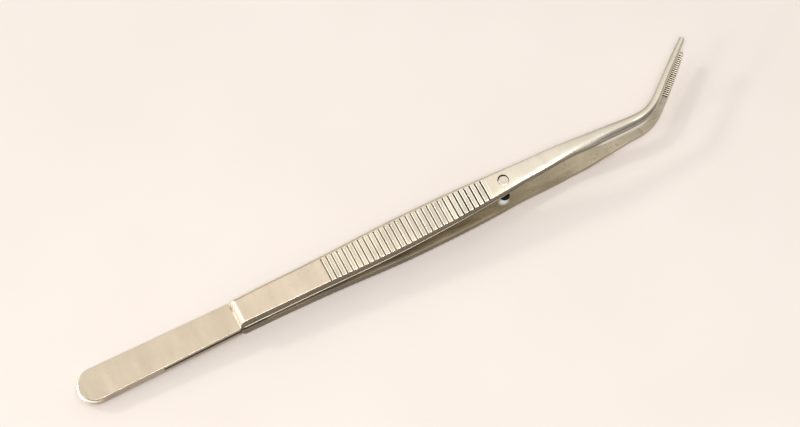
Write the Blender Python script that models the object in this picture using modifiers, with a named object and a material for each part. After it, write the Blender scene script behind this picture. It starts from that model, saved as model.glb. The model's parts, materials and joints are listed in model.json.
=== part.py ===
"""Bent-tip precision tweezers with a guide pin and serrated grips.

Tool frame: +X runs from the tail to the tips, +Y is the side that the tips bend to, and the XY plane lies
midway between the two arms. The whole tool is then tilted a little, so that it lies on its lower arm.
Everything is in metres.
"""
import math

import bmesh
import bpy
from mathutils import Vector

MM = 0.001
GAP = 0.3 * MM                      # clearance between pieces that touch on the real tool

# Driving dimensions along the tool, measured from the tail's end
WELD_END = 18.2 * MM                # the two tails are joined up to here
FLEX_LINE = 26.8 * MM               # where each spring leaf bends, its joint axis
STEP = 36.8 * MM                    # the thin leaf ends and the thick arm begins
STEP_RAMP = 1.6 * MM
GRIP_START = 57.7 * MM
GRIP_END = 96.9 * MM
PIN_PLACE = 100.4 * MM
BEND_CORNER = 136.9 * MM            # where the arm's and the tip's centre lines cross
BEND_ANGLE = math.radians(41.3)
BEND_RADIUS = 10.8 * MM
TIP_LENGTH = 19.0 * MM              # from the corner to the tip's end

# Widths and thicknesses
TAIL_HALF_WIDTH = 3.7 * MM
LEAF_HALF_WIDTH = 3.2 * MM          # at the step
TIP_HALF_WIDTH = 0.55 * MM
LEAF_THICKNESS = 0.95 * MM
SHOULDER_LENGTH = 0.02 * MM         # the leaf's sides end in a square shoulder
TAIL_SPACE = 0.45 * MM              # from the middle plane to a tail's inner face
WELD_THICKNESS = 0.3 * MM
WELD_INSET = 0.15 * MM

# Half width of the thick arm, as (distance from the tail, half width), up to the bend
ARM_HALF_WIDTHS = [
    (36.8 * MM, 2.88 * MM),
    (51.5 * MM, 2.96 * MM),
    (74.5 * MM, 3.38 * MM),
    (87.5 * MM, 3.13 * MM),
    (96.0 * MM, 2.72 * MM),
    (106.0 * MM, 2.06 * MM),
    (118.0 * MM, 1.39 * MM),
    (126.0 * MM, 1.14 * MM),
    (136.9 * MM, 0.95 * MM),
]

# Height of an arm's inner face over the middle plane: the arms bow apart and close in again to the tips
INNER_HEIGHTS = [
    (36.8 * MM, 0.60 * MM),
    (47.5 * MM, 0.67 * MM),
    (62.5 * MM, 1.05 * MM),
    (96.5 * MM, 3.10 * MM),
    (105.5 * MM, 3.65 * MM),
    (115.0 * MM, 4.45 * MM),
    (124.0 * MM, 3.78 * MM),
    (133.0 * MM, 2.85 * MM),
    (152.0 * MM, 3.00 * MM),
]

# Thickness of an arm
ARM_THICKNESSES = [
    (36.8 * MM, 2.90 * MM),
    (57.0 * MM, 2.70 * MM),
    (74.5 * MM, 2.60 * MM),
    (88.5 * MM, 2.30 * MM),
    (117.0 * MM, 1.92 * MM),
    (137.0 * MM, 1.66 * MM),
    (152.0 * MM, 1.20 * MM),
]

# Serrations
GROOVE_COUNT = 31
GROOVE_DEPTH = 0.32 * MM
TOOTH_COUNT = 22
TOOTH_PITCH = 0.5 * MM
TOOTH_DEPTH = 0.15 * MM
TOOTH_END_MARGIN = 0.7 * MM         # plain land at the tip's end

# Tip end: its corners are cut back this much along and across
TIP_CORNER_LENGTH = 0.25 * MM
TIP_CORNER_WIDTH = 0.2 * MM

# Guide pin
PIN_RADIUS = 1.18 * MM              # riveted shank, flush with the arm's outer face
NOSE_RADIUS = 0.6 * MM
NOSE_HOLE_RADIUS = 0.9 * MM
NOSE_REACH = 4.1 * MM               # below the upper arm's inner face
PIN_CROWN = 0.05 * MM               # the riveted end stands this proud
PIN_SHOULDER = 0.3 * MM             # from the inner face to the shank's end, and the length of its cone
NOSE_TAPER = 0.6 * MM

# Blanks and cutters reach well past the strips
OUTLINE_START = -1.0 * MM
OUTLINE_END = 154.0 * MM
BLANK_HALF_THICKNESS = 10 * MM
PROFILE_HALF_WIDTH = 20 * MM
COMB_HALF_WIDTH = 3 * MM
COMB_BACK = 1.0 * MM
DRILL_LENGTH = 6 * MM
ROUND_SEGMENTS = 40
MERGE_DISTANCE = 0.001 * MM

STRAIGHT_END = BEND_CORNER - BEND_RADIUS * math.tan(BEND_ANGLE / 2)
ARC_LENGTH = BEND_RADIUS * BEND_ANGLE
LEG_LENGTH = TIP_LENGTH - BEND_RADIUS * math.tan(BEND_ANGLE / 2)
PATH_END = STRAIGHT_END + ARC_LENGTH + LEG_LENGTH


# --- curves through a few stations ------------------------------------------------------------------

def smooth_value(stations, place):
    """Height of a smooth curve through the stations, level beyond its ends."""
    if place <= stations[0][0]:
        return stations[0][1]
    if place >= stations[-1][0]:
        return stations[-1][1]
    index = max(i for i in range(len(stations) - 1) if stations[i][0] <= place)
    x0, y0 = stations[index]
    x1, y1 = stations[index + 1]
    span = x1 - x0
    slope0 = station_slope(stations, index)
    slope1 = station_slope(stations, index + 1)
    t = (place - x0) / span
    rise = (3 - 2 * t) * t * t
    start_pull = t * (1 - t) * (1 - t) * span * slope0
    end_pull = t * t * (t - 1) * span * slope1
    return y0 + (y1 - y0) * rise + start_pull + end_pull


def station_slope(stations, index):
    """Slope at a station, zero where the curve turns round, so that it never overshoots."""
    if index in (0, len(stations) - 1):
        near = 1 if index == 0 else index - 1
        return (stations[near][1] - stations[index][1]) / (stations[near][0] - stations[index][0])
    (xa, ya), (xb, yb), (xc, yc) = stations[index - 1:index + 2]
    before = (yb - ya) / (xb - xa)
    after = (yc - yb) / (xc - xb)
    if before * after <= 0:
        return 0.0
    return 2 * before * after / (before + after)


def spread(first, last, count):
    """Evenly spaced values from first to last, both included."""
    return [first + (last - first) * i / (count - 1) for i in range(count)]


# --- plan of a strip --------------------------------------------------------------------------------

def path_point(distance):
    """Point and sideways direction on the strip's centre line, in plan."""
    if distance <= STRAIGHT_END:
        return Vector((distance, 0.0)), Vector((0.0, 1.0))
    turned = min((distance - STRAIGHT_END) / BEND_RADIUS, BEND_ANGLE)
    side = Vector((-math.sin(turned), math.cos(turned)))
    centre = Vector((STRAIGHT_END, BEND_RADIUS))
    point = centre - side * BEND_RADIUS
    beyond = distance - STRAIGHT_END - ARC_LENGTH
    if beyond > 0:
        point = point + Vector((math.cos(BEND_ANGLE), math.sin(BEND_ANGLE))) * beyond
    return point, side


def half_width(distance):
    """Half the strip's width at a distance along its centre line."""
    if distance < STEP:
        t = distance / STEP
        return TAIL_HALF_WIDTH + (LEAF_HALF_WIDTH - TAIL_HALF_WIDTH) * t
    if distance <= BEND_CORNER:
        return smooth_value(ARM_HALF_WIDTHS, distance)
    t = (distance - BEND_CORNER) / (PATH_END - BEND_CORNER)
    return ARM_HALF_WIDTHS[-1][1] + (TIP_HALF_WIDTH - ARM_HALF_WIDTHS[-1][1]) * t


def strip_plan(distances):
    """Closed outline of the strip between the first and the last distance."""
    near_side = []
    far_side = []
    for distance in distances:
        point, side = path_point(distance)
        near_side.append(point - side * half_width(distance))
        far_side.append(point + side * half_width(distance))
    return near_side + far_side[::-1]


def tail_plan(end, inset=0.0):
    """The tail's outline: a half-round end and two sides up to the given distance."""
    radius = TAIL_HALF_WIDTH - inset
    centre = TAIL_HALF_WIDTH
    outline = []
    for angle in spread(math.radians(90), math.radians(270), 25):
        outline.append(Vector((centre + radius * math.cos(angle), radius * math.sin(angle))))
    end_half = half_width(end) - inset
    outline.append(Vector((end, -end_half)))
    outline.append(Vector((end, end_half)))
    return outline


def arm_plan():
    """An arm's outline, from its flexure line past the step, round the bend and to the tip."""
    leaf = [FLEX_LINE + GAP / 2, STEP - SHOULDER_LENGTH]
    straight = spread(STEP, STRAIGHT_END, 27)
    arc = spread(STRAIGHT_END, STRAIGHT_END + ARC_LENGTH, 10)[1:]
    leg = spread(STRAIGHT_END + ARC_LENGTH, PATH_END - TIP_CORNER_LENGTH, 5)[1:]
    outline = strip_plan(leaf + straight + arc + leg)
    tip_corner = len(outline) // 2
    point, side = path_point(PATH_END)
    blunt = TIP_HALF_WIDTH - TIP_CORNER_WIDTH
    outline[tip_corner:tip_corner] = [point - side * blunt, point + side * blunt]
    return outline


# --- side view of a strip ---------------------------------------------------------------------------

def inner_height(place):
    """Inner face over the middle plane."""
    if place <= WELD_END:
        return TAIL_SPACE
    if place <= STEP:
        t = (place - WELD_END) / (STEP - WELD_END)
        return TAIL_SPACE + (INNER_HEIGHTS[0][1] - TAIL_SPACE) * t
    return smooth_value(INNER_HEIGHTS, place)


def outer_height(place):
    """Outer face over the middle plane, with the step but without the grooves."""
    leaf = inner_height(place) + LEAF_THICKNESS
    if place <= STEP:
        return leaf
    arm = inner_height(place) + smooth_value(ARM_THICKNESSES, place)
    if place < STEP + STEP_RAMP:
        t = (place - STEP) / STEP_RAMP
        return leaf + (arm - leaf) * math.sin(t * math.pi / 2)
    return arm


def grooved_line():
    """The grip's outer face: evenly spaced grooves with a narrow floor and sloping sides."""
    pitch = (GRIP_END - GRIP_START) / GROOVE_COUNT
    line = []
    for i in range(GROOVE_COUNT):
        start = GRIP_START + i * pitch
        for share, depth in ((0.0, 0.0), (0.24, 1.0), (0.36, 1.0), (0.60, 0.0)):
            place = start + share * pitch
            line.append(Vector((place, outer_height(place) - depth * GROOVE_DEPTH)))
    return line


def side_outline():
    """Closed side view of a strip from tail to tip."""
    bowed = spread(STEP + STEP_RAMP, OUTLINE_END, 40)
    inner_places = [OUTLINE_START, WELD_END, STEP] + bowed
    inner = [Vector((place, inner_height(place))) for place in inner_places]
    ramp = spread(STEP, STEP + STEP_RAMP, 6)
    before_grip = spread(STEP + STEP_RAMP, GRIP_START, 6)[1:-1]
    after_grip = spread(GRIP_END, OUTLINE_END, 24)
    rear = [OUTLINE_START, WELD_END] + ramp + before_grip
    outer = [Vector((place, outer_height(place))) for place in rear]
    outer += grooved_line()
    outer += [Vector((place, outer_height(place))) for place in after_grip]
    return inner + outer[::-1]


def tooth_comb_outline():
    """Side view of the cutter that makes the tip's inner teeth: a bar with a saw edge on top."""
    outline = [Vector((0.0, -COMB_BACK))]
    for i in range(TOOTH_COUNT):
        outline.append(Vector((i * TOOTH_PITCH, 0.0)))
        outline.append(Vector(((i + 0.5) * TOOTH_PITCH, TOOTH_DEPTH)))
    outline.append(Vector((TOOTH_COUNT * TOOTH_PITCH, 0.0)))
    outline.append(Vector((TOOTH_COUNT * TOOTH_PITCH, -COMB_BACK)))
    return outline


# --- Blender objects --------------------------------------------------------------------------------

def clear_scene():
    for obj in list(bpy.data.objects):
        bpy.data.objects.remove(obj)


def new_collection(name):
    collection = bpy.data.collections.new(name)
    bpy.context.scene.collection.children.link(collection)
    return collection


def steel(name, colour, roughness):
    """Stainless steel with a given finish."""
    material = bpy.data.materials.new(name)
    material.use_nodes = True
    shader = material.node_tree.nodes["Principled BSDF"]
    shader.inputs["Base Color"].default_value = (*colour, 1.0)
    shader.inputs["Metallic"].default_value = 1.0
    shader.inputs["Roughness"].default_value = roughness
    material.diffuse_color = (*colour, 1.0)
    return material


def plate(name, outline, half_thickness, collection):
    """A flat outline given thickness both ways from the XY plane, as a closed mesh."""
    curve = bpy.data.curves.new(name, "CURVE")
    curve.dimensions = "2D"
    curve.fill_mode = "BOTH"
    curve.extrude = half_thickness
    spline = curve.splines.new("POLY")
    spline.points.add(len(outline) - 1)
    for spline_point, corner in zip(spline.points, outline):
        spline_point.co = (corner.x, corner.y, 0.0, 1.0)
    spline.use_cyclic_u = True
    holder = bpy.data.objects.new(name + "_outline", curve)
    bpy.context.scene.collection.objects.link(holder)
    evaluated = holder.evaluated_get(bpy.context.evaluated_depsgraph_get())
    mesh = bpy.data.meshes.new_from_object(evaluated)
    bpy.data.objects.remove(holder)
    weld_mesh(mesh)
    obj = bpy.data.objects.new(name, mesh)
    collection.objects.link(obj)
    return obj


def weld_mesh(mesh):
    """Join the caps of a converted curve to its sides."""
    bm = bmesh.new()
    bm.from_mesh(mesh)
    bmesh.ops.remove_doubles(bm, verts=bm.verts, dist=MERGE_DISTANCE)
    bmesh.ops.recalc_face_normals(bm, faces=bm.faces)
    bm.to_mesh(mesh)
    bm.free()


def side_plate(name, outline, half_thickness, collection):
    """The same, standing upright: the outline is a side view in the XZ plane."""
    obj = plate(name, outline, half_thickness, collection)
    obj.rotation_euler = (math.pi / 2, 0.0, 0.0)
    return obj


def drill(name, radius, collection):
    mesh = bpy.data.meshes.new(name)
    bm = bmesh.new()
    bmesh.ops.create_cone(
        bm, cap_ends=True, segments=ROUND_SEGMENTS, radius1=radius, radius2=radius, depth=DRILL_LENGTH
    )
    bm.to_mesh(mesh)
    bm.free()
    obj = bpy.data.objects.new(name, mesh)
    collection.objects.link(obj)
    return obj


def turned(name, profile, collection):
    """A shape turned round its Z axis, from a profile of (radius, height) that runs top to bottom."""
    mesh = bpy.data.meshes.new(name)
    corners = [(radius, 0.0, height) for radius, height in profile]
    edges = [(i, i + 1) for i in range(len(corners) - 1)]
    mesh.from_pydata(corners, edges, [])
    obj = bpy.data.objects.new(name, mesh)
    collection.objects.link(obj)
    screw = obj.modifiers.new("turn", "SCREW")
    screw.steps = ROUND_SEGMENTS
    screw.render_steps = ROUND_SEGMENTS
    screw.use_merge_vertices = True
    screw.merge_threshold = MERGE_DISTANCE
    screw.use_smooth_shade = True
    return obj


def as_cutter(obj):
    obj.hide_render = True
    obj.display_type = "WIRE"
    return obj


def cut(obj, cutter, operation="DIFFERENCE"):
    modifier = obj.modifiers.new(cutter.name, "BOOLEAN")
    modifier.operation = operation
    modifier.solver = "EXACT"
    modifier.object = cutter


def hang_on(obj, parent, place=(0.0, 0.0, 0.0)):
    obj.parent = parent
    obj.location = place


def new_empty(name, collection, parent=None, place=(0.0, 0.0, 0.0)):
    obj = bpy.data.objects.new(name, None)
    obj.empty_display_size = 5 * MM
    collection.objects.link(obj)
    hang_on(obj, parent, place)
    return obj


def shade_round(obj):
    """Shade a mesh smooth, with its corners sharp."""
    obj.data.shade_smooth()
    obj.data.set_sharp_from_angle(angle=math.radians(35.0))


# --- the tweezers -----------------------------------------------------------------------------------

def side_cutter(name, mirrored, tools):
    """The strip's side view as a wide upright plate: what is common to it and the plan is the strip."""
    outline = side_outline()
    if mirrored:
        outline = [Vector((corner.x, -corner.y)) for corner in outline]
    return as_cutter(side_plate(name, outline, PROFILE_HALF_WIDTH, tools))


def tooth_cutter(name, mirrored, tools, frame):
    """The comb that cuts the inner teeth, square across the tip and along its inner face."""
    comb = side_plate(name, tooth_comb_outline(), COMB_HALF_WIDTH, tools)
    length = TOOTH_COUNT * TOOTH_PITCH
    start, _ = path_point(PATH_END - TOOTH_END_MARGIN - length)
    finish, _ = path_point(PATH_END - TOOTH_END_MARGIN)
    rise = inner_height(finish.x) - inner_height(start.x)
    pitch = math.atan2(rise, length)
    height = inner_height(start.x)
    comb.parent = frame
    if mirrored:
        comb.scale = (1.0, -1.0, 1.0)
        comb.location = (start.x, start.y, -height)
        comb.rotation_euler = (math.pi / 2, pitch, BEND_ANGLE)
    else:
        comb.location = (start.x, start.y, height)
        comb.rotation_euler = (math.pi / 2, -pitch, BEND_ANGLE)
    return as_cutter(comb)


def guide_pin(parts, pivot, material):
    """Riveted shank in the upper arm, then a slimmer nose with a tapered end that finds its hole."""
    top = outer_height(PIN_PLACE)
    seat = inner_height(PIN_PLACE)
    end = seat - NOSE_REACH
    profile = [
        (0.0, top + PIN_CROWN),
        (0.7 * PIN_RADIUS, top + 0.6 * PIN_CROWN),
        (PIN_RADIUS, top),
        (PIN_RADIUS, seat - PIN_SHOULDER),
        (NOSE_RADIUS, seat - 2 * PIN_SHOULDER),
        (NOSE_RADIUS, end + NOSE_TAPER),
        (0.5 * NOSE_RADIUS, end),
        (0.0, end),
    ]
    pin = turned("guide_pin", profile, parts)
    pin.data.materials.append(material)
    hang_on(pin, pivot, (PIN_PLACE - FLEX_LINE, 0.0, 0.0))
    return pin


def stand_on_origin(frame, objects):
    """Move the tool so that the middle of its underside is at the origin."""
    depsgraph = bpy.context.evaluated_depsgraph_get()
    corners = []
    for obj in objects:
        evaluated = obj.evaluated_get(depsgraph)
        mesh = evaluated.to_mesh()
        corners += [evaluated.matrix_world @ vertex.co for vertex in mesh.vertices]
        evaluated.to_mesh_clear()
    lows = [min(corner[axis] for corner in corners) for axis in range(3)]
    highs = [max(corner[axis] for corner in corners) for axis in range(3)]
    frame.location -= Vector(((lows[0] + highs[0]) / 2, (lows[1] + highs[1]) / 2, lows[2]))


def resting_tilt():
    """Angle between the middle plane and the surface: the step and the bowed front touch it."""
    heel = STEP + STEP_RAMP
    bulge = max(spread(PIN_PLACE, BEND_CORNER, 120), key=outer_height)
    return math.atan2(outer_height(bulge) - outer_height(heel), bulge - heel)


def build():
    clear_scene()
    parts = new_collection("precision_tweezers")
    tools = new_collection("cutters")
    satin = steel("satin_steel", (0.68, 0.62, 0.53), 0.34)
    ground = steel("ground_steel", (0.74, 0.68, 0.59), 0.28)
    weld = steel("weld_metal", (0.48, 0.42, 0.35), 0.5)
    pin_steel = steel("pin_steel", (0.72, 0.67, 0.58), 0.3)

    frame = new_empty("tool_frame", parts)
    frame.rotation_euler = (0.0, -resting_tilt(), 0.0)

    shank_hole = as_cutter(drill("pin_shank_hole", PIN_RADIUS + GAP, tools))
    hang_on(shank_hole, frame, (PIN_PLACE, 0.0, outer_height(PIN_PLACE)))
    nose_hole = as_cutter(drill("pin_nose_hole", NOSE_HOLE_RADIUS, tools))
    hang_on(nose_hole, frame, (PIN_PLACE, 0.0, -outer_height(PIN_PLACE)))

    built = []
    pivots = {}
    for side, mirrored, hole in (("upper", False, shank_hole), ("lower", True, nose_hole)):
        profile = side_cutter(side + "_side_view", mirrored, tools)
        profile.parent = frame
        pivots[side] = new_empty(side + "_flexure", parts, frame, (FLEX_LINE, 0.0, 0.0))

        leaf = plate(side + "_tail_leaf", tail_plan(FLEX_LINE - GAP / 2), BLANK_HALF_THICKNESS, parts)
        hang_on(leaf, frame)
        cut(leaf, profile, "INTERSECT")
        leaf.data.materials.append(ground)
        shade_round(leaf)

        arm = plate(side + "_arm", arm_plan(), BLANK_HALF_THICKNESS, parts)
        hang_on(arm, pivots[side], (-FLEX_LINE, 0.0, 0.0))
        cut(arm, profile, "INTERSECT")
        cut(arm, tooth_cutter(side + "_tooth_comb", mirrored, tools, frame))
        cut(arm, hole)
        arm.data.materials.append(satin)
        shade_round(arm)
        built += [leaf, arm]

    seam = plate("tail_weld_seam", tail_plan(WELD_END, WELD_INSET), WELD_THICKNESS / 2, parts)
    hang_on(seam, frame)
    seam.data.materials.append(weld)
    built.append(seam)

    built.append(guide_pin(parts, pivots["upper"], pin_steel))
    bpy.context.view_layer.update()
    stand_on_origin(frame, built)


build()
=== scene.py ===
import json
import math

import bmesh
import bpy
import numpy as np
from mathutils import Matrix, Vector


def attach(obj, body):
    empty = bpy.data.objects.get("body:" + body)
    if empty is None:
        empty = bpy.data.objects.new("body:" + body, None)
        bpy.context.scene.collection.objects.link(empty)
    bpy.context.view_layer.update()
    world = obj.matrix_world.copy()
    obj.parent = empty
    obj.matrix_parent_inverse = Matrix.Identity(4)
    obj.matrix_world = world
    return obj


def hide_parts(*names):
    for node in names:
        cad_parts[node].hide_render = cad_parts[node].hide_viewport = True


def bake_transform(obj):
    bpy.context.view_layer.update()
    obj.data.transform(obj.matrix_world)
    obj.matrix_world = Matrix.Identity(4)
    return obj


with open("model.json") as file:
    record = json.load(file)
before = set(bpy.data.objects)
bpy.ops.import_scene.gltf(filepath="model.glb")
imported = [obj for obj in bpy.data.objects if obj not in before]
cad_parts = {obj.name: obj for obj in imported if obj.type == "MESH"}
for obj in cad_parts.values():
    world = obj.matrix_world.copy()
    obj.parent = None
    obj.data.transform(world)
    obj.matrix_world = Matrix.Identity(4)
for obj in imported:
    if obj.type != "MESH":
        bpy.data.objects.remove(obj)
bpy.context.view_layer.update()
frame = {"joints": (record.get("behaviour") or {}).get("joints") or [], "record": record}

MM = 0.001

# --- sizes ------------------------------------------------------------------------------------------
# Tool frame: +X from the tail to the tips, +Y the side that the tips bend to, XY midway between the arms.
# FLEX_LINE is the CAD's own, as the tool frame is found from it.
WELD_END = 18.2 * MM
FLEX_LINE = 26.8 * MM
STEP = 36.3 * MM
STEP_RAMP = 1.4 * MM
GRIP_START = 57.7 * MM
GRIP_END = 96.9 * MM
PIN_PLACE = 100.4 * MM
BEND_CORNER = 136.9 * MM
BEND_ANGLE = math.radians(41.3)
BEND_RADIUS = 10.8 * MM
TIP_LENGTH = 19.0 * MM

TAIL_HALF_WIDTH = 3.7 * MM
LEAF_HALF_WIDTH = 3.2 * MM
TIP_HALF_WIDTH = 0.55 * MM
LEAF_THICKNESS = 0.95 * MM
TAIL_SPACE = 0.45 * MM

# Tables hold (millimetres from the tail's end, value in millimetres), unless they say otherwise
ARM_HALF_WIDTHS = [
    (36.8, 2.88), (51.5, 2.96), (74.5, 3.38), (87.5, 3.13), (96.0, 2.72),
    (106.0, 2.06), (118.0, 1.39), (126.0, 1.14), (136.9, 0.95),
]
INNER_HEIGHTS = [
    (36.8, 0.60), (47.5, 0.67), (62.5, 1.05), (96.5, 3.10), (105.5, 3.65),
    (115.0, 4.45), (124.0, 3.78), (133.0, 2.85), (152.0, 3.00),
]
ARM_THICKNESSES = [
    (36.8, 2.90), (57.0, 2.70), (74.5, 2.60), (88.5, 2.30), (117.0, 1.92), (137.0, 1.66),
    (152.0, 1.20),
]
# How far the outer face falls from its middle to its edges, and the power of that fall: a high one is
# flat with square shoulders, a low one is round
FAR_CROWN_DROPS = [
    (36.8, 0.03), (94.0, 0.05), (100.4, 0.10), (106.0, 0.16), (118.0, 0.22), (129.0, 0.32),
    (137.0, 0.36), (152.0, 0.28),
]
NEAR_CROWN_DROPS = [
    (36.8, 0.03), (94.0, 0.05), (100.4, 0.16), (106.0, 0.24), (112.0, 0.27), (118.0, 0.35),
    (121.0, 0.43), (125.0, 0.54), (129.0, 0.60), (137.0, 0.52), (142.0, 0.34), (152.0, 0.24),
]
FAR_CROWN_POWERS = [(96.4, 3.4), (106.0, 2.8), (118.0, 2.4), (152.0, 2.0)]
NEAR_CROWN_POWERS = [
    (96.4, 3.6), (112.0, 3.2), (118.0, 2.6), (121.0, 2.1), (138.0, 1.9), (152.0, 1.7),
]
# Rounding of the outer face's edges, the far one much softer along the thick arm, and of the inner face's
FAR_EDGES = [
    (2.0, 0.06), (36.0, 0.06), (38.0, 0.75), (57.0, 0.70), (62.0, 0.85), (96.0, 0.80), (106.0, 0.45),
    (125.0, 0.28), (152.0, 0.18),
]
NEAR_EDGES = [
    (2.0, 0.06), (36.0, 0.06), (38.0, 0.14), (57.0, 0.14), (96.0, 0.16), (106.0, 0.22), (152.0, 0.18),
]
INNER_EDGES = [
    (2.0, 0.03), (17.5, 0.03), (19.5, 0.08), (57.0, 0.06), (152.0, 0.06),
]
# Added to the half width: on the lower arm's far and near sides, and on both arms' near and far sides
LOWER_FAR_EXTRA = [
    (100.0, 0.0), (110.0, 0.30), (118.0, 0.52), (122.5, 0.26), (126.0, -0.45), (137.0, -0.62),
    (141.0, -0.25), (144.0, 0.0),
]
LOWER_NEAR_EXTRA = [
    (45.0, 0.0), (62.0, 0.10), (80.0, 0.26), (115.0, 0.20), (130.0, 0.10), (140.0, 0.50),
    (145.0, 0.68), (150.0, 0.46), (155.0, 0.16),
]
NEAR_EXTRA = [
    (104.0, 0.0), (111.0, 0.22), (116.0, 0.26), (121.0, 0.48), (125.0, 0.34), (128.0, 0.30),
    (132.0, 0.15), (136.0, 0.0), (140.0, -0.30), (145.0, -0.36), (150.0, -0.15), (155.0, 0.0),
]
TIP_FAR_EXTRA = [(136.0, 0.0), (141.0, 0.24), (150.0, 0.18), (155.0, 0.04)]
SHOULDER_START = STEP - 0.35 * MM   # the leaf narrows to the arm in a small rounded shoulder
SHOULDER_LENGTH = 0.45 * MM
LEAF_CROWN_DROP = 0.02 * MM
FAR_EDGE_FADE = 8 * MM              # past the step, the far edge's rounding comes in over this length
TIP_ROUND = 0.32 * MM               # length of the tip's rounded end, and how far its outer face falls
TIP_FALL = 0.35 * MM
TAIL_WELD_BULGE = 0.62 * MM
POLISH_START = 114 * MM
SLIT_END = STEP + 6 * MM            # up to here the gap between the arms is a dark slit of painted shade
# The lip low on the near side, how proud and how high, where it ends and over what length it fades
LIP_OUT = 0.13 * MM
LIP_HEIGHT = 0.07 * MM
LIP_END = GRIP_END + 9 * MM
LIP_FADE = 6 * MM
# Points across half of an outer face, round its edge, down its side, round the inner edge and across half
# of the inner face; a half section has one lengthwise column of faces fewer than it has points
CROWN_SHARES = [0.0, 0.12, 0.24, 0.36, 0.48, 0.59, 0.69, 0.78, 0.86, 0.93, 1.0]
EDGE_STEPS = 6
SIDE_POINTS = 2
INNER_EDGE_STEPS = 4
INNER_SHARES = [0.66, 0.33, 0.0]
HALF_COLUMNS = len(CROWN_SHARES) + EDGE_STEPS + SIDE_POINTS + INNER_EDGE_STEPS + len(INNER_SHARES)
# The columns of the near half that are a little smoother and painted lighter as a highlight, counted back
# from the middle of the outer face
POLISHED_COLUMNS = (2, 10)
TAIL_TURNS = 28                     # steps round the tail's end
# Finishes, in the order of the strips' material slots; LIP only marks faces that then take another one
# Of these finishes, those of the grooves, bores, the arms' sides and inner faces are painted shade; those
# of the ridges' edges, the riser and the front's shoulder are painted highlights; the tail's sides take the
# sides' lit copy
FACE, SIDE, INNER, GROOVE, TAIL_SIDE, BORE, RIDGE, BURR, RISER, POLISHED, LOWER_SIDE, LIP = range(12)

GROOVE_COUNT = 31
GROOVE_DEPTH = 0.36 * MM
GROOVE_SHARES = [0.0, 0.04, 0.10, 0.17, 0.24, 0.30, 0.38, 0.50, 0.62, 0.75, 0.88, 1.0]
GROOVE_SHAPE = [0.0, 0.62, 0.95, 1.0, 0.80, 0.16, 0.0, 0.07, 0.13, 0.07, 0.0, 0.0]
# From this share of the groove's depth a face has the groove's dark finish, painted shade: less of it
# towards the pin
GROOVE_CUT = 0.5
GROOVE_CUT_AT_PIN = 0.15
GROOVE_CUT_CHANGE = 86 * MM
BURR_SHARES = (0.24, 0.40, 0.85)    # painted highlights on the ridges' edges, from the first to the second and past the third
TOOTH_COUNT = 22
TOOTH_PITCH = 0.5 * MM
TOOTH_DEPTH = 0.15 * MM
TOOTH_END_MARGIN = 0.7 * MM

PIN_RADIUS = 1.12 * MM
PIN_HOLE_RADIUS = 1.25 * MM
PIN_OFFSET = 0.125 * MM
NOSE_RADIUS = 0.6 * MM
NOSE_HOLE_RADIUS = 1.15 * MM
NOSE_HOLE_SHIFT = 0.33 * MM
NOSE_HOLE_DEPTH = 1.7 * MM
NOSE_REACH = 4.1 * MM
PIN_END_LENGTH = 0.5 * MM          # the filed end, which lies askew
PIN_SLANT = 0.05
PIN_SLANT_TOWARDS = (0.5, 0.87)     # towards the tail and towards the far side
LATHE_SEGMENTS = 48

STRAIGHT_END = BEND_CORNER - BEND_RADIUS * math.tan(BEND_ANGLE / 2)
ARC_LENGTH = BEND_RADIUS * BEND_ANGLE
LEG_LENGTH = TIP_LENGTH - BEND_RADIUS * math.tan(BEND_ANGLE / 2)
PATH_END = STRAIGHT_END + ARC_LENGTH + LEG_LENGTH

# The tool frame's place in the row frame, from the record: the flexure's axis and the tail's face
record = frame["record"]
flexure = Vector(frame["joints"][0]["pos_m"])
up_axis = Vector(record["mounts"][0]["axis"]).normalized()
side_axis = Vector((0.0, 1.0, 0.0))
long_axis = side_axis.cross(up_axis)
tool_origin = flexure - long_axis * FLEX_LINE
TOOL = Matrix((
    (long_axis.x, side_axis.x, up_axis.x, tool_origin.x),
    (long_axis.y, side_axis.y, up_axis.y, tool_origin.y),
    (long_axis.z, side_axis.z, up_axis.z, tool_origin.z),
    (0.0, 0.0, 0.0, 1.0),
))


# --- curves -----------------------------------------------------------------------------------------

def smooth(stations, place):
    """A smooth curve through the stations (both in mm), in metres, level beyond its ends."""
    xs = np.array([x for x, _ in stations]) * MM
    ys = np.array([y for _, y in stations]) * MM
    steps = np.diff(ys) / np.diff(xs)
    slopes = np.zeros(len(xs))
    slopes[0] = steps[0]
    slopes[-1] = steps[-1]
    for i in range(1, len(xs) - 1):
        if steps[i - 1] * steps[i] > 0:
            slopes[i] = 2 * steps[i - 1] * steps[i] / (steps[i - 1] + steps[i])
    x = np.clip(place, xs[0], xs[-1])
    i = np.clip(np.searchsorted(xs, x, side="right") - 1, 0, len(xs) - 2)
    span = xs[i + 1] - xs[i]
    t = (x - xs[i]) / span
    rise = (3 - 2 * t) * t * t
    return (ys[i] + (ys[i + 1] - ys[i]) * rise + t * (1 - t) ** 2 * span * slopes[i]
            + t * t * (t - 1) * span * slopes[i + 1])


def path(distance):
    """Points and sideways directions of the strip's centre line, in plan."""
    turned = np.clip((distance - STRAIGHT_END) / BEND_RADIUS, 0.0, BEND_ANGLE)
    side = np.stack([-np.sin(turned), np.cos(turned)], 1)
    straight = np.minimum(distance, STRAIGHT_END)
    beyond = np.maximum(distance - STRAIGHT_END - ARC_LENGTH, 0.0)
    x = straight + BEND_RADIUS * np.sin(turned) + beyond * math.cos(BEND_ANGLE)
    y = BEND_RADIUS * (1 - np.cos(turned)) + beyond * math.sin(BEND_ANGLE)
    return np.stack([x, y], 1), side


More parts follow.
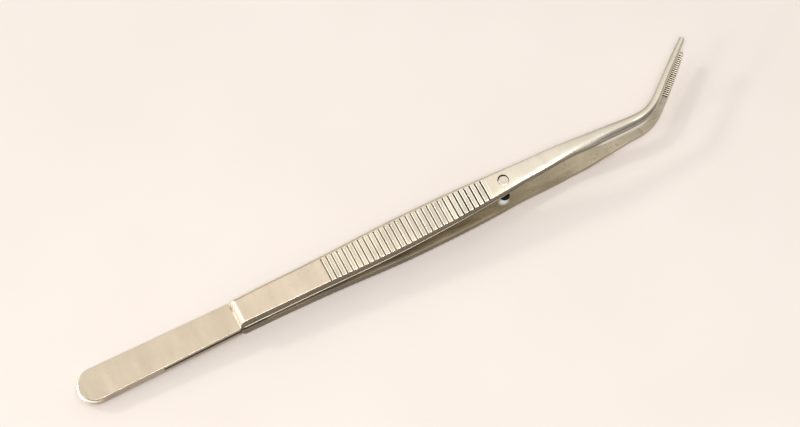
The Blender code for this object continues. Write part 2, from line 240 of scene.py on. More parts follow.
def half_width(distance):
    leaf = TAIL_HALF_WIDTH + (LEAF_HALF_WIDTH - TAIL_HALF_WIDTH) * distance / STEP
    arm = smooth(ARM_HALF_WIDTHS, distance)
    t = np.clip((distance - BEND_CORNER) / (PATH_END - BEND_CORNER), 0.0, 1.0)
    tip = ARM_HALF_WIDTHS[-1][1] * MM + (TIP_HALF_WIDTH - ARM_HALF_WIDTHS[-1][1] * MM) * t
    arm = np.where(distance > BEND_CORNER, tip, arm)
    shoulder = np.clip((distance - SHOULDER_START) / SHOULDER_LENGTH, 0.0, 1.0)
    rounded = 1 - np.sqrt(1 - shoulder ** 2)
    return leaf + (arm - leaf) * np.where(distance < STEP + 0.1 * MM, rounded, 1.0)


def inner_height(place):
    leaf = TAIL_SPACE + (INNER_HEIGHTS[0][1] * MM - TAIL_SPACE) * np.clip(
        (place - WELD_END) / (STEP - WELD_END), 0.0, 1.0)
    return np.where(place < STEP, leaf, smooth(INNER_HEIGHTS, place))


def outer_height(place):
    leaf = inner_height(place) + LEAF_THICKNESS
    arm = inner_height(place) + smooth(ARM_THICKNESSES, place)
    t = np.clip((place - STEP) / STEP_RAMP, 0.0, 1.0)
    return leaf + (arm - leaf) * (1 - (1 - t) ** 3)


def groove_depth(place):
    """Narrow grooves with steep sides, and a faint hollow along the middle of each ridge between them."""
    pitch = (GRIP_END - GRIP_START) / GROOVE_COUNT
    share = (place - GRIP_START) / pitch
    inside = (share > 0) & (share < GROOVE_COUNT)
    t = share - np.floor(share)
    uneven = 0.88 + 0.12 * np.sin(2.4 * np.floor(share)) * np.sin(1.1 * np.floor(share) + 0.7)
    return np.where(inside, np.interp(t, GROOVE_SHARES, GROOVE_SHAPE) * GROOVE_DEPTH * uneven, 0.0)


def tooth_depth(distance):
    share = (distance - (PATH_END - TOOTH_END_MARGIN - TOOTH_COUNT * TOOTH_PITCH)) / TOOTH_PITCH
    inside = (share > 0) & (share < TOOTH_COUNT)
    t = share - np.floor(share)
    return np.where(inside, (1 - np.abs(2 * t - 1)) * TOOTH_DEPTH, 0.0)


# --- the strips -------------------------------------------------------------------------------------

def stations():
    """Distances along the centre line where the strip has a cross-section."""
    pitch = (GRIP_END - GRIP_START) / GROOVE_COUNT
    shares = GROOVE_SHARES[:-1]
    grip = [GRIP_START + (i + s) * pitch for i in range(GROOVE_COUNT) for s in shares] + [GRIP_END]
    leg = PATH_END - TOOTH_END_MARGIN - TOOTH_COUNT * TOOTH_PITCH
    teeth = [leg + i * TOOTH_PITCH / 4 for i in range(TOOTH_COUNT * 4 + 1)]
    runs = [
        np.linspace(TAIL_HALF_WIDTH, STEP - 0.6 * MM, 34),
        np.linspace(STEP - 0.5 * MM, STEP + 2.4 * MM, 42),
        np.linspace(STEP + 3.0 * MM, GRIP_START - 0.2 * MM, 18),
        grip,
        np.linspace(GRIP_END + 0.2 * MM, STRAIGHT_END - 0.3 * MM, 60),
        np.linspace(STRAIGHT_END, leg - 0.1 * MM, 26),
        teeth,
        np.linspace(PATH_END - TOOTH_END_MARGIN + 0.08 * MM, PATH_END - 0.36 * MM, 4),
        PATH_END - 0.32 * MM * (1 - np.sin(np.linspace(0.0, math.pi / 2, 8))),
    ]
    return np.unique(np.round(np.concatenate([np.asarray(r) for r in runs]), 7))


def half_section(distance, far, wider=0.0):
    """Half cross-sections (stations x points) from the middle of the outer face round to the inner one.

    The far half has the softly rounded outer edge, where the grooves run out before they reach it; the
    near half has a crisp outer edge, grooves right across it and a small lip low on its side."""
    points, _ = path(distance)
    place = points[:, 0]
    half = half_width(distance)
    inner = inner_height(place) + tooth_depth(distance)
    plain = outer_height(place)
    end = np.clip((distance - (PATH_END - TIP_ROUND)) / TIP_ROUND, 0.0, 1.0)
    shrink = np.sqrt(np.clip(1 - end ** 2, 0.0, 1.0))
    half = half * (0.45 + 0.55 * shrink)
    plain = plain - TIP_FALL * (1 - shrink)
    drop = smooth(FAR_CROWN_DROPS if far else NEAR_CROWN_DROPS, place)
    drop = np.where(distance < STEP, LEAF_CROWN_DROP, drop)
    power = smooth(FAR_CROWN_POWERS if far else NEAR_CROWN_POWERS, place) / MM
    edge = smooth(FAR_EDGES if far else NEAR_EDGES, distance)
    edge = np.minimum(edge, (plain - inner) * 0.45)
    if far:
        half = half + edge * 0.25 * np.clip((distance - STEP) / FAR_EDGE_FADE, 0.0, 1.0)
        half = half + smooth(TIP_FAR_EXTRA, distance)
    else:
        half = half + smooth(NEAR_EXTRA, distance)
    half = half + wider
    edge = np.minimum(edge, half * 0.35)
    inner_edge = np.minimum(smooth(INNER_EDGES, distance), half * 0.2)
    groove = groove_depth(place)
    rim_groove = groove * (0.0 if far else 1.0)
    lip = 0.0
    if not far:
        lip = LIP_OUT * np.clip((distance - STEP) / (1 * MM), 0.0, 1.0) * np.clip(
            (LIP_END - distance) / LIP_FADE, 0.0, 1.0)

    # where the crown meets the edge's arc at the same slope, found by repetition
    y_last = half - edge
    for _ in range(8):
        slope = np.arctan(drop * power / half * (np.abs(y_last) / half) ** (power - 1))
        y_last = half - edge + edge * np.sin(slope)
    z_last = plain - rim_groove - drop * (y_last / half) ** power
    centre_y = y_last - edge * np.sin(slope)
    centre_z = z_last - edge * np.cos(slope)
    columns = []
    for share in CROWN_SHARES:
        depth = groove if share < 0.95 else rim_groove
        columns.append((y_last * share, plain - depth - drop * (y_last * share / half) ** power))
    for k in range(1, EDGE_STEPS + 1):
        angle = slope + (math.pi / 2 - slope) * k / EDGE_STEPS
        columns.append((centre_y + edge * np.sin(angle), centre_z + edge * np.cos(angle)))
    low = inner + inner_edge
    columns.append((half, (centre_z + low) / 2))
    columns.append((half, low + np.minimum(LIP_HEIGHT, (centre_z - low) * 0.4)))
    for k in range(INNER_EDGE_STEPS + 1):
        angle = math.pi / 2 * k / INNER_EDGE_STEPS
        columns.append((
            half + lip - inner_edge * (1 - np.cos(angle)), low - inner_edge * np.sin(angle)))
    for share in INNER_SHARES:
        columns.append(((half - inner_edge) * share, inner))
    return np.stack([c[0] for c in columns], 1), np.stack([c[1] for c in columns], 1)


def column_kinds():
    """The finish of each lengthwise strip of faces of a half section: face, side or inner face."""
    face = len(CROWN_SHARES) - 1 + EDGE_STEPS - 1
    return [FACE] * face + [SIDE] * 3 + [LIP] * 2 + [INNER] * 6


def face_kind(kind, column, distance, place):
    """The finish of one face: grooves, tooth gaps and the slit between the leaves are dark, painted shade;
    the ridges' edges and the step are light, painted highlights; the near side's lip and the tail's sides
    take the sides' lit copy, a painted light line on the lip. Columns count from the middle of the outer
    face, far half first, and the grooves run out before that half's edge (run_out)."""
    run_out = range(len(CROWN_SHARES) - 2, len(CROWN_SHARES) + EDGE_STEPS)
    # faces deep in a groove take the groove's dark finish, painted shade
    if kind == FACE and column not in run_out and GRIP_START < place < GRIP_END:
        cut = GROOVE_CUT if place < GROOVE_CUT_CHANGE else GROOVE_CUT_AT_PIN
        if groove_depth(np.array([place]))[0] > cut * GROOVE_DEPTH:
            return GROOVE
        # ridge faces by the grooves' edges take the near-white finish, a painted highlight
        share = (place - GRIP_START) / (GRIP_END - GRIP_START) * GROOVE_COUNT % 1.0
        first, second, third = BURR_SHARES
        return BURR if first < share < second or share > third else RIDGE
    # tooth gaps take the bore's near-black finish, painted shade
    if kind == INNER and tooth_depth(np.array([distance]))[0] > 0.5 * TOOTH_DEPTH:
        return BORE
    # the inner faces in the slit between the leaves take the same dark finish, painted shade
    if kind == INNER and WELD_END < distance < SLIT_END:
        return GROOVE
    # the near side's lip takes the sides' lit copy, a painted light line; the far side's lip the dark side
    # finish
    if kind == LIP:
        near_lip = column > HALF_COLUMNS and STEP < distance < LIP_END
        kind = TAIL_SIDE if near_lip else SIDE
    # the step's riser takes the near-white finish, a painted highlight
    if kind == FACE and STEP - 0.05 * MM < distance < STEP + STEP_RAMP:
        return RISER
    # the tail's sides take the sides' lit copy, painted light
    if kind == SIDE and distance < STEP - 0.4 * MM:
        return TAIL_SIDE
    return kind


def strip_mesh(name, sign):
    """One arm from its round tail to its tip as a closed surface.

    The sign is 1 for the upper arm and -1 for the lower one."""
    distance = stations()
    points, side = path(distance)
    wider = smooth(LOWER_FAR_EXTRA, distance) if sign < 0 else 0.0
    near_wider = smooth(LOWER_NEAR_EXTRA, distance) if sign < 0 else 0.0
    far_y, far_z = half_section(distance, True, wider)
    near_y, near_z = half_section(distance, False, near_wider)
    count = far_y.shape[1]
    verts = []
    faces = []
    kinds = []
    # once round the section: the far half down to the middle of the inner face, then up the near half
    loop_y = np.concatenate([far_y, -near_y[:, count - 2:0:-1]], 1)
    loop_z = np.concatenate([far_z, near_z[:, count - 2:0:-1]], 1)
    columns = column_kinds()
    loop_kinds = columns + columns[::-1]
    loop = loop_y.shape[1]
    rings = []
    for s in range(len(distance)):
        rings.append(len(verts))
        x = points[s, 0] + side[s, 0] * loop_y[s]
        y = points[s, 1] + side[s, 1] * loop_y[s]
        verts.extend(zip(x, y, loop_z[s] * sign))
    for s, (a, b) in enumerate(zip(rings[:-1], rings[1:])):
        middle = (distance[s] + distance[s + 1]) / 2
        place = (points[s, 0] + points[s + 1, 0]) / 2
        for k in range(loop):
            n = (k + 1) % loop
            faces.append((a + k, a + n, b + n, b + k))
            kind = face_kind(loop_kinds[k], k, middle, place)
            back = loop - k
            # the near shoulder's columns at the front take the smoother finish that is painted lighter as a
            # highlight
            if kind == FACE and POLISHED_COLUMNS[0] < back < POLISHED_COLUMNS[1] and middle > POLISH_START:
                kind = POLISHED
            # the lower arm's sides take their own tones of painted shade and painted reflection
            if sign < 0 and kind == SIDE:
                kind = LOWER_SIDE
            kinds.append(kind)
    # round tail end: the first section swung half a turn about the end's centre
    centre = points[0, 0]
    swung = [[rings[0] + i for i in range(count)]]
    for t in range(1, TAIL_TURNS):
        angle = math.pi / 2 + math.pi * t / TAIL_TURNS
        ring = []
        for i in range(count):
            if i in (0, count - 1):
                ring.append(rings[0] + i)
                continue
            y = far_y[0, i]
            verts.append((centre + y * math.cos(angle), y * math.sin(angle), far_z[0, i] * sign))
            ring.append(len(verts) - 1)
        swung.append(ring)
    swung.append([rings[0] + (0 if i == 0 else (loop - i) % loop) for i in range(count)])
    for a, b in zip(swung[:-1], swung[1:]):
        for i in range(count - 1):
            corners = [a[i], b[i], b[i + 1], a[i + 1]]
            corners = [c for k, c in enumerate(corners) if c != corners[k - 1]]
            faces.append(tuple(corners))
            # round the tail's end the sides take the sides' lit copy, painted light
            kinds.append(TAIL_SIDE if columns[i] in (SIDE, LIP) else columns[i])
    faces.append(tuple(rings[-1] + k for k in range(loop)))
    kinds.append(FACE)
    return mesh_object(name, verts, faces, kinds)


def mesh_object(name, verts, faces, kinds=None):
    mesh = bpy.data.meshes.new(name)
    mesh.from_pydata([tuple(v) for v in verts], [], faces)
    if kinds:
        mesh.polygons.foreach_set("material_index", np.array(kinds, np.int32))
    mesh.validate()
    mesh.transform(TOOL)
    obj = bpy.data.objects.new(name, mesh)
    bpy.context.scene.collection.objects.link(obj)
    make_outward(obj)
    return obj


def make_outward(obj):
    """Joins points that coincide and turns every face outwards."""
    bm = bmesh.new()
    bm.from_mesh(obj.data)
    bmesh.ops.remove_doubles(bm, verts=bm.verts, dist=1e-7)
    bmesh.ops.recalc_face_normals(bm, faces=bm.faces)
    bm.to_mesh(obj.data)
    bm.free()


def smooth_shade(obj, degrees):
    obj.data.shade_smooth()
    obj.data.set_sharp_from_angle(angle=math.radians(degrees))


def lathe(name, profile, place):
    """A turned piece on the axis through (place, 0) of the tool frame; profile is (radius, height)."""
    verts = []
    faces = []
    rings = []
    for radius, height in profile:
        if radius == 0.0:
            verts.append((place, 0.0, height))
            rings.append([len(verts) - 1] * LATHE_SEGMENTS)
            continue
        ring = []
        for k in range(LATHE_SEGMENTS):
            angle = 2 * math.pi * k / LATHE_SEGMENTS
            verts.append((place + radius * math.cos(angle), radius * math.sin(angle), height))
            ring.append(len(verts) - 1)
        rings.append(ring)
    for a, b in zip(rings[:-1], rings[1:]):
        for k in range(LATHE_SEGMENTS):
            n = (k + 1) % LATHE_SEGMENTS
            corners = [a[k], a[n], b[n], b[k]]
            corners = [c for i, c in enumerate(corners) if c != corners[i - 1]]
            faces.append(tuple(corners))
    return mesh_object(name, verts, faces)


def bore(obj, radius, mouth, bottom, place, lip):
    """Cuts a round hole with a slightly broken edge from mouth to bottom, its wall in the bore's near-black
    finish, painted shade.
    """
    out = 1 * MM if mouth > bottom else -1 * MM
    cutter = lathe("cutter", [
        (0.0, mouth + out), (radius + lip, mouth + out), (radius + lip, mouth),
        (radius, mouth - out * lip / MM), (radius, bottom), (0.0, bottom),
    ], place)
    modifier = obj.modifiers.new("bore", "BOOLEAN")
    modifier.operation = "DIFFERENCE"
    modifier.solver = "EXACT"
    modifier.object = cutter
    evaluated = obj.evaluated_get(bpy.context.evaluated_depsgraph_get())
    mesh = bpy.data.meshes.new_from_object(evaluated)
    obj.modifiers.clear()
    obj.data = mesh
    bpy.data.objects.remove(cutter)
    to_tool = TOOL.inverted()
    wall = radius + 0.02 * MM
    for polygon in mesh.polygons:
        corners = [to_tool @ mesh.vertices[v].co for v in polygon.vertices]
        if all(math.hypot(c.x - place, c.y) < wall for c in corners):
            polygon.material_index = BORE


def weld_bead():
    """The fused metal between the two tails: nearly flush with their sides, bulging round their end."""
    rounds = [(-TAIL_SPACE, 0.02), (-0.42 * MM, 0.02), (-0.36 * MM, 0.015), (-0.24 * MM, 0.02),
              (-0.12 * MM, 0.03), (0.0, 0.04), (0.12 * MM, 0.03), (0.24 * MM, 0.02), (0.36 * MM, 0.015),
              (0.42 * MM, 0.02), (TAIL_SPACE, 0.02)]
    verts = []
    faces = []
    rings = []
    for height, inset in rounds:
        outline = []
        bulge = TAIL_WELD_BULGE * math.sqrt(max(0.0, 1 - (height / TAIL_SPACE) ** 2))
        for k in range(41):
            angle = math.pi / 2 + math.pi * k / 40
            radius = TAIL_HALF_WIDTH - inset * MM + bulge * math.sin(angle - math.pi / 2) ** 2
            outline.append((TAIL_HALF_WIDTH + radius * math.cos(angle), radius * math.sin(angle)))
        end = WELD_END - 6 * inset * MM
        for k in range(1, 30):
            x = TAIL_HALF_WIDTH + (end - TAIL_HALF_WIDTH) * k / 29
            outline.append((x, -(float(half_width(np.array([x]))[0]) - inset * MM)))
        back = [(x, -y) for x, y in outline[41:]]
        outline += back[::-1]
        rings.append([len(verts) + i for i in range(len(outline))])
        verts += [(x, y, height) for x, y in outline]
    for a, b in zip(rings[:-1], rings[1:]):
        for k in range(len(a)):
            n = (k + 1) % len(a)
            faces.append((a[k], a[n], b[n], b[k]))
    faces.append(tuple(rings[0]))
    faces.append(tuple(rings[-1]))
    return mesh_object("tail_weld_bead", verts, faces)


def guide_pin():
    """The riveted pin: its filed end a little below the face, a cone below the arm and a thin nose."""
    top = pin_top
    seat = pin_seat
    end = seat - NOSE_REACH
    r = PIN_RADIUS
    n = NOSE_RADIUS
    profile = [
        (0.0, top - 0.08 * MM), (0.45 * r, top - 0.083 * MM), (0.75 * r, top - 0.09 * MM),
        (0.92 * r, top - 0.10 * MM), (0.98 * r, top - 0.13 * MM), (r, top - 0.18 * MM),
        (r, top - 0.80 * MM), (r, seat + 0.1 * MM), (r, seat - 0.12 * MM),
        (0.95 * r, seat - 0.24 * MM), (0.75 * r, seat - 0.40 * MM), (1.05 * n, seat - 0.58 * MM),
        (n, seat - 0.70 * MM), (n, end + 0.6 * MM), (0.94 * n, end + 0.38 * MM), (0.8 * n, end + 0.16 * MM),
        (0.55 * n, end + 0.03 * MM), (0.3 * n, end), (0.0, end),
    ]
    pin = lathe("guide_pin_turned", profile, PIN_PLACE)
    pin.data.transform(Matrix.Translation(-side_axis * PIN_OFFSET))
    to_tool = TOOL.inverted()
    to_tail, to_far = PIN_SLANT_TOWARDS
    for vertex in pin.data.vertices:
        corner = to_tool @ vertex.co
        if corner.z > top - PIN_END_LENGTH:
            corner.z -= PIN_SLANT * (to_far * corner.y - to_tail * (corner.x - PIN_PLACE))
            vertex.co = TOOL @ corner
    smooth_shade(pin, 40)
    return pin


# --- materials --------------------------------------------------------------------------------------

class Nodes:
    """A small helper to wire shader nodes."""

    def __init__(self, name):
        self.material = bpy.data.materials.new(name)
        self.material.use_nodes = True
        self.tree = self.material.node_tree
        self.shader = self.tree.nodes["Principled BSDF"]

    def add(self, kind, **settings):
        node = self.tree.nodes.new(kind)
        for key, value in settings.items():
            setattr(node, key, value)
        return node

    def link(self, a, b):
        self.tree.links.new(a, b)

    def coords(self, scale, rotation=(0.0, 0.0, 0.0)):
        """Object coordinates, turned and stretched: long scratches follow the tool's length."""
        source = self.add("ShaderNodeTexCoord")
        mapping = self.add("ShaderNodeMapping")
        mapping.inputs["Scale"].default_value = scale
        mapping.inputs["Rotation"].default_value = rotation
        self.link(source.outputs["Object"], mapping.inputs["Vector"])
        return mapping.outputs["Vector"]

    def noise(self, vector, scale, detail=3.0, roughness=0.55, distortion=0.0):
        node = self.add("ShaderNodeTexNoise")
        node.inputs["Scale"].default_value = scale
        node.inputs["Detail"].default_value = detail
        node.inputs["Roughness"].default_value = roughness
        node.inputs["Distortion"].default_value = distortion
        self.link(vector, node.inputs["Vector"])
        return node.outputs["Fac"]

    def ramp(self, value, stops):
        node = self.add("ShaderNodeValToRGB")
        elements = node.color_ramp.elements
        while len(elements) > len(stops):
            elements.remove(elements[-1])
        while len(elements) < len(stops):
            elements.new(0.5)
        for element, (place, colour) in zip(elements, stops):
            element.position = place
            element.color = (*colour, 1.0)
        self.link(value, node.inputs["Fac"])
        return node.outputs["Color"]

    def remap(self, value, low, high, new_low, new_high):
        node = self.add("ShaderNodeMapRange")
        node.inputs["From Min"].default_value = low
        node.inputs["From Max"].default_value = high
        node.inputs["To Min"].default_value = new_low
        node.inputs["To Max"].default_value = new_high
        self.link(value, node.inputs["Value"])
        return node.outputs["Result"]

    def mix(self, factor, a, b, blend="MIX"):
        node = self.add("ShaderNodeMix", data_type="RGBA", blend_type=blend)
        if isinstance(factor, float):
            node.inputs["Factor"].default_value = factor
        else:
            self.link(factor, node.inputs["Factor"])
        for socket, value in ((node.inputs[6], a), (node.inputs[7], b)):
            if isinstance(value, tuple):
                socket.default_value = (*value, 1.0)
            else:
                self.link(value, socket)
        return node.outputs[2]

    def math(self, operation, a, b):
        node = self.add("ShaderNodeMath", operation=operation)
        for socket, value in zip(node.inputs, (a, b)):
            if isinstance(value, (int, float)):
                socket.default_value = value
            else:
                self.link(value, socket)
        return node.outputs[0]

    def bump(self, height, strength, distance):
        node = self.add("ShaderNodeBump")
        node.inputs["Strength"].default_value = strength
        node.inputs["Distance"].default_value = distance
        self.link(height, node.inputs["Height"])
        self.link(node.outputs["Normal"], self.shader.inputs["Normal"])


def steel(name, tones, spread, rough_low, rough_high, grain, tilt=0.0, stain=None, patch=None,
          speckle=0.22):
    """Ground stainless steel: fine grinding lines, cloudy tone and small specks.

    tones are (distance from the tail in mm, colour) and spread is how far the tone wanders about them. A
    brown spot is metallic like the rest; a painted glint, standing for a reflection, is dull. grain is how
    fine the lines are along each axis."""
    n = Nodes(name)
    n.shader.inputs["Metallic"].default_value = 1.0
    lines = n.noise(n.coords(grain, (0.0, 0.0, tilt)), 1.0, 4.0, 0.6)
    cloud = n.noise(n.coords((1.0, 1.0, 1.0)), 160.0, 3.0, 0.5, 0.4)
    speck = n.noise(n.coords((1.0, 1.0, 1.0)), 1500.0, 2.0, 0.6)
    split = n.add("ShaderNodeSeparateXYZ")
    n.link(n.coords((1.0, 1.0, 1.0)), split.inputs["Vector"])
    along = n.remap(split.outputs["X"], tool_origin.x, tool_origin.x + TOOL_SPAN, 0.0, 1.0)
    colour = n.ramp(along, [(place * MM / TOOL_SPAN, tone) for place, tone in tones])
    tone = n.math("ADD", n.math("MULTIPLY", lines, 0.45), n.math("MULTIPLY", cloud, 0.55))
    shade = n.ramp(tone, [
        (0.32, (1 - spread,) * 3), (0.68, (1 + spread, 1 + spread, 1 + 0.8 * spread))])
    colour = n.mix(1.0, colour, shade, "MULTIPLY")
    dark = tuple(c * 0.6 for c in tones[0][1])
    colour = n.mix(n.remap(speck, 0.60, 0.74, 0.0, speckle), colour, dark)
    rough = n.remap(lines, 0.3, 0.7, rough_low, rough_high)
    for spot in (stain, patch):
        if not spot:
            continue
        place, reach, stretch, tint, strength = spot
        source = n.add("ShaderNodeTexCoord")
        mapping = n.add("ShaderNodeMapping", vector_type="TEXTURE")
        mapping.inputs["Location"].default_value = place
        mapping.inputs["Scale"].default_value = stretch
        n.link(source.outputs["Object"], mapping.inputs["Vector"])
        length = n.add("ShaderNodeVectorMath", operation="LENGTH")
        n.link(mapping.outputs["Vector"], length.inputs[0])
        wobble = n.math("MULTIPLY", n.math("SUBTRACT", cloud, 0.5), 0.9 * reach)
        reached = n.math("ADD", length.outputs["Value"], wobble)
        mask = n.remap(reached, 0.35 * reach, reach, strength, 0.0)
        colour = n.mix(mask, colour, tint)
        if spot is patch:
            n.link(n.remap(mask, 0.0, 1.0, 1.0, 0.1), n.shader.inputs["Metallic"])
    n.link(colour, n.shader.inputs["Base Color"])
    n.link(rough, n.shader.inputs["Roughness"])
    relief = n.math("ADD", n.math("MULTIPLY", lines, 0.7), n.math("MULTIPLY", speck, 0.3))
    n.bump(relief, 0.20, 0.02 * MM)
    return n.material


def world_point(x, y, z):
    return TOOL @ Vector((x, y, z))


TOOL_SPAN = 152.0 * MM
step_height = float(outer_height(np.array([STEP]))[0])
stain_place = world_point(STEP + 0.25 * MM, 1.9 * MM, step_height + 0.1 * MM)
pin_top = float(outer_height(np.array([PIN_PLACE]))[0])
pin_seat = float(inner_height(np.array([PIN_PLACE]))[0])
patch_place = world_point(PIN_PLACE - 0.35 * MM, -1.15 * MM, -pin_seat)
# Spots as (place, reach, stretch along each axis, colour, strength)
# A reddish-brown spot at the step's far corner, on the riser's top
stain = (tuple(stain_place), 1.0 * MM, (0.7, 1.25, 1.0), (0.42, 0.26, 0.21), 0.9)
# A painted glint: a light, dull spot on the lower arm's inner face beside the nose hole, standing for a
# reflection of light
patch = (tuple(patch_place), 1.3 * MM, (1.1, 0.8, 1.0), (0.60, 0.66, 0.62), 1.0)
# The outer faces: the lighter tone from the pin towards the tips is partly painted highlight, brightening
# the front's highlight
face_steel = steel(
    "ground_face_steel",
    [(0.0, (0.64, 0.545, 0.42)), (34.0, (0.66, 0.555, 0.42)), (42.0, (0.73, 0.61, 0.47)),
     (70.0, (0.75, 0.65, 0.51)), (104.0, (0.80, 0.725, 0.60)), (152.0, (0.76, 0.69, 0.56))],
    spread=0.07, rough_low=0.27, rough_high=0.37, grain=(300.0, 60.0, 300.0), tilt=math.radians(8.0),
    stain=stain)
# The arms' sides: their dark tone is painted shade of the shadowed floor they mirror, lightening towards
# the bend
side_steel = steel(
    "arm_side_painted_shade",
    [(36.0, (0.20, 0.17, 0.125)), (112.0, (0.20, 0.17, 0.125)), (126.0, (0.28, 0.24, 0.18)),
     (136.0, (0.36, 0.31, 0.24)), (144.0, (0.52, 0.46, 0.36))],
    spread=0.18, rough_low=0.38, rough_high=0.52, grain=(80.0, 700.0, 700.0))
# The arms' inner faces: dark where the arms lie close and lighter where they open, painted shade between
# the arms
inner_steel = steel(
    "inner_face_painted_shade_and_glint",
    [(40.0, (0.24, 0.195, 0.13)), (60.0, (0.26, 0.21, 0.14)), (80.0, (0.38, 0.315, 0.22)),
     (100.0, (0.39, 0.325, 0.225)), (118.0, (0.42, 0.36, 0.26)), (134.0, (0.50, 0.44, 0.34)),
     (142.0, (0.50, 0.45, 0.36))],
    spread=0.22, rough_low=0.34, rough_high=0.46, grain=(90.0, 900.0, 900.0),
    patch=patch, speckle=0.55)
# Grooves and the slit between the leaves: dark, painted shade, darkest in the slit and by the pin
groove_steel = steel(
    "groove_steel",
    [(16.0, (0.09, 0.075, 0.055)), (52.0, (0.11, 0.09, 0.065)), (58.0, (0.32, 0.27, 0.20)),
     (86.0, (0.26, 0.22, 0.16)), (90.0, (0.11, 0.09, 0.065))],
    spread=0.2, rough_low=0.45, rough_high=0.6, grain=(600.0, 60.0, 600.0))
ridge_steel = steel(
    "ridge_steel", [(57.0, (0.68, 0.59, 0.46)), (96.0, (0.74, 0.67, 0.55))],
    spread=0.26, rough_low=0.24, rough_high=0.40, grain=(3200.0, 60.0, 3200.0))
# The ridges' bright edges: near white, painted highlights
burr_steel = steel(
    "burr_steel", [(57.0, (0.93, 0.86, 0.76)), (96.0, (0.95, 0.89, 0.80))],
    spread=0.16, rough_low=0.26, rough_high=0.40, grain=(3200.0, 60.0, 3200.0))
# The front's near shoulder: a little smoother, and painted lighter as a highlight
polished_steel = steel(
    "polished_steel",
    [(112.0, (0.80, 0.73, 0.60)), (120.0, (0.90, 0.84, 0.72)), (138.0, (0.86, 0.80, 0.68)),
     (152.0, (0.76, 0.70, 0.58))],
    spread=0.06, rough_low=0.25, rough_high=0.31, grain=(60.0, 200.0, 200.0))
# The lower arm's sides: dark near the tail, painted shade, and lighter towards the bend, a painted
# reflection of the lit floor
lower_side_steel = steel(
    "lower_side_steel",
    [(36.0, (0.20, 0.17, 0.125)), (88.0, (0.20, 0.17, 0.125)), (106.0, (0.36, 0.305, 0.215)),
     (134.0, (0.46, 0.40, 0.31)), (142.0, (0.48, 0.43, 0.34))],
    spread=0.2, rough_low=0.36, rough_high=0.48, grain=(90.0, 900.0, 900.0))
# The step's riser: near white, a painted highlight fading into the face
riser_steel = steel(
    "riser_steel", [(36.0, (0.95, 0.90, 0.81)), (36.8, (0.88, 0.81, 0.70)), (37.6, (0.75, 0.64, 0.50))],
    spread=0.08, rough_low=0.34, rough_high=0.46, grain=(900.0, 90.0, 900.0), stain=stain)
# The sides' lit copy, for the tail's sides and the near side's lip: lighter than the arms' sides by painted
# light, a painted light line on the lip
tail_side_steel = steel(
    "tail_side_steel", [(0.0, (0.46, 0.40, 0.33)), (36.0, (0.46, 0.40, 0.33)), (40.0, (0.54, 0.48, 0.39)),
                        (58.0, (0.44, 0.39, 0.31)), (100.0, (0.38, 0.33, 0.26))],
    spread=0.1, rough_low=0.32, rough_high=0.46, grain=(80.0, 700.0, 700.0))
# Hole walls and tooth gaps: near black, painted shade
bore_steel = steel(
    "bore_steel",
    [(90.0, (0.04, 0.033, 0.026)), (110.0, (0.05, 0.04, 0.03)), (140.0, (0.08, 0.065, 0.045))],
    spread=0.2, rough_low=0.5, rough_high=0.65, grain=(300.0, 300.0, 300.0))
pin_steel = steel(
    "pin_steel", [(90.0, (0.76, 0.69, 0.57)), (110.0, (0.78, 0.71, 0.59))],
    spread=0.08, rough_low=0.26, rough_high=0.38, grain=(700.0, 700.0, 700.0))
# The weld bead: near white round the tail's end, a painted highlight on the rim, and darker along the sides
weld_steel = steel(
    "weld_steel", [(0.0, (0.86, 0.80, 0.70)), (2.5, (0.80, 0.73, 0.63)), (4.5, (0.44, 0.38, 0.315)),
                   (20.0, (0.44, 0.38, 0.315))],
    spread=0.1, rough_low=0.36, rough_high=0.5, grain=(120.0, 500.0, 900.0))


# --- build the object -------------------------------------------------------------------------------

strip_finishes = [
    face_steel, side_steel, inner_steel, groove_steel, tail_side_steel, bore_steel, ridge_steel,
    burr_steel, riser_steel, polished_steel, lower_side_steel,
]
upper = strip_mesh("upper_strip", 1.0)
lower = strip_mesh("lower_strip", -1.0)
for strip in (upper, lower):
    for material in strip_finishes:
        strip.data.materials.append(material)
bore(upper, PIN_HOLE_RADIUS, pin_top, pin_seat - 0.5 * MM, PIN_PLACE, 0.03 * MM)
bore(
    lower, NOSE_HOLE_RADIUS, -pin_seat, -pin_seat - NOSE_HOLE_DEPTH, PIN_PLACE + NOSE_HOLE_SHIFT,
    0.05 * MM)
for strip in (upper, lower):
    smooth_shade(strip, 28)

bead = weld_bead()
bead.data.materials.append(weld_steel)
smooth_shade(bead, 40)
pin = guide_pin()
pin.data.materials.append(pin_steel)

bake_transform(upper)
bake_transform(lower)
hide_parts("upper_tail_leaf", "upper_arm")
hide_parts("lower_tail_leaf", "lower_arm")
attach(bead, "tail")
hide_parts("tail_weld_seam")
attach(pin, "upper_arm")
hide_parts("guide_pin")


# --- floor, light and camera ------------------------------------------------------------------------

# Brightness of the surroundings at the horizon, overhead and, added to those, low on the left
SKY_LOW = 0.38
SKY_HIGH = 1.00
SKY_LEFT = 0.80
FLOOR_HALF_SIZE = 3.0
# Lamps: name, direction from the tool, distance and side of the square panel in metres, power in watts
LAMPS = [
    ("key_left", (-0.531, 0.572, 0.625), 0.9, 0.12, 1.6),
    ("side_left", (-0.924, -0.069, 0.379), 0.9, 0.10, 1.1),
    ("front", (-0.184, -0.35, 0.918), 0.7, 0.12, 2.9),
    ("overhead", (0.184, -0.14, 0.973), 0.9, 0.20, 0.55),
]
CAMERA_HEADING = 0.4679952          # radians round from looking along +Y
CAMERA_ELEVATION = math.radians(66.0)
CAMERA_DISTANCE = 0.6
CAMERA_LENS = 125.861               # for a 36 mm wide sensor
CAMERA_TARGET = (0.0, 0.0, 0.006)
CAMERA_RIGHT = 0.00178903           # the target's shift to the right and up in the picture
CAMERA_UP = 0.00132212


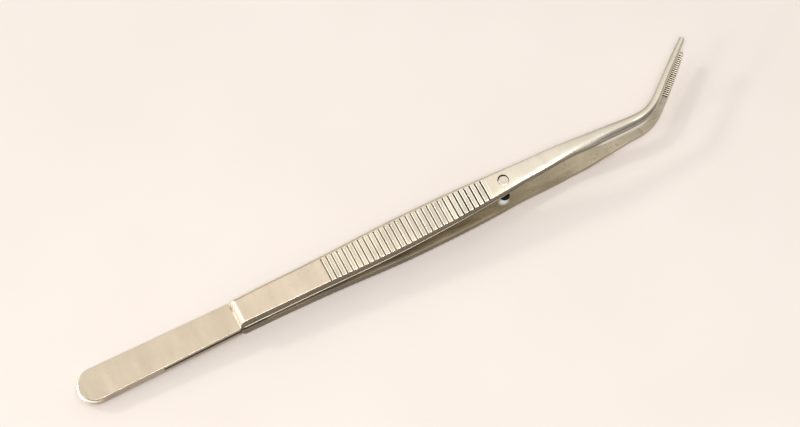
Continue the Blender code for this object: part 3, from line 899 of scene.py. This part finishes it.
def floor():
    size = FLOOR_HALF_SIZE
    mesh = bpy.data.meshes.new("floor")
    corners = [(-size, -size, 0.0), (size, -size, 0.0), (size, size, 0.0), (-size, size, 0.0)]
    mesh.from_pydata(corners, [], [(0, 1, 2, 3)])
    obj = bpy.data.objects.new("floor", mesh)
    bpy.context.scene.collection.objects.link(obj)
    n = Nodes("pale_cloth")
    cloud = n.noise(n.coords((1.0, 1.0, 1.0)), 25.0, 2.0, 0.5)
    colour = n.ramp(cloud, [(0.3, (0.648, 0.587, 0.541)), (0.7, (0.669, 0.607, 0.561))])
    n.link(colour, n.shader.inputs["Base Color"])
    n.shader.inputs["Roughness"].default_value = 0.9
    n.shader.inputs["Specular IOR Level"].default_value = 0.1
    obj.data.materials.append(n.material)


def area_light(name, towards, distance, size, power):
    """A square light panel that looks at the tool from the given direction."""
    data = bpy.data.lights.new(name, "AREA")
    data.shape = "RECTANGLE"
    data.size = size
    data.size_y = size
    data.energy = power
    obj = bpy.data.objects.new(name, data)
    bpy.context.scene.collection.objects.link(obj)
    direction = Vector(towards).normalized()
    obj.location = direction * distance
    obj.rotation_euler = direction.to_track_quat("Z", "Y").to_euler()


def surroundings():
    """Soft light mostly from the far side and overhead; low down on the near side it is dim."""
    world = bpy.data.worlds.new("studio")
    bpy.context.scene.world = world
    world.use_nodes = True
    tree = world.node_tree
    background = tree.nodes["Background"]
    background.inputs["Color"].default_value = (1.0, 0.985, 0.965, 1.0)
    source = tree.nodes.new("ShaderNodeTexCoord")
    split = tree.nodes.new("ShaderNodeSeparateXYZ")
    tree.links.new(source.outputs["Generated"], split.inputs["Vector"])

    def rise(value, low, high, bottom, top):
        node = tree.nodes.new("ShaderNodeMapRange")
        node.interpolation_type = "SMOOTHSTEP"
        for key, number in (("From Min", low), ("From Max", high), ("To Min", bottom), ("To Max", top)):
            node.inputs[key].default_value = number
        tree.links.new(value, node.inputs["Value"])
        return node.outputs["Result"]

    def combine(operation, a, b):
        node = tree.nodes.new("ShaderNodeMath")
        node.operation = operation
        tree.links.new(a, node.inputs[0])
        tree.links.new(b, node.inputs[1])
        return node.outputs[0]

    sideways = combine("MULTIPLY", split.outputs["X"], split.outputs["X"])
    farness = combine("ADD", split.outputs["Y"], rise(sideways, 0.0, 1.0, 0.0, 0.5))
    far = rise(farness, -0.50, 0.20, 0.20, 1.0)
    height = rise(split.outputs["Z"], 0.15, 0.92, SKY_LOW, SKY_HIGH)
    left = rise(split.outputs["X"], -0.48, -0.80, 0.0, SKY_LEFT)
    total = combine("ADD", combine("MULTIPLY", far, height), left)
    tree.links.new(total, background.inputs["Strength"])


def camera():
    heading = CAMERA_HEADING
    level = math.cos(CAMERA_ELEVATION)
    forward = Vector((
        math.sin(heading) * level, math.cos(heading) * level, -math.sin(CAMERA_ELEVATION)))
    right = Vector((math.cos(heading), -math.sin(heading), 0.0))
    up = right.cross(forward)
    target = Vector(CAMERA_TARGET) + right * CAMERA_RIGHT + up * CAMERA_UP
    data = bpy.data.cameras.new("camera")
    data.lens = CAMERA_LENS
    data.sensor_width = 36.0
    data.clip_start = 0.01
    obj = bpy.data.objects.new("camera", data)
    obj.location = target - forward * CAMERA_DISTANCE
    obj.rotation_euler = Matrix((right, up, -forward)).transposed().to_euler()
    bpy.context.scene.collection.objects.link(obj)
    bpy.context.scene.camera = obj


floor()
surroundings()
for lamp in LAMPS:
    area_light(*lamp)
camera()
bpy.context.scene.view_settings.view_transform = "Standard"
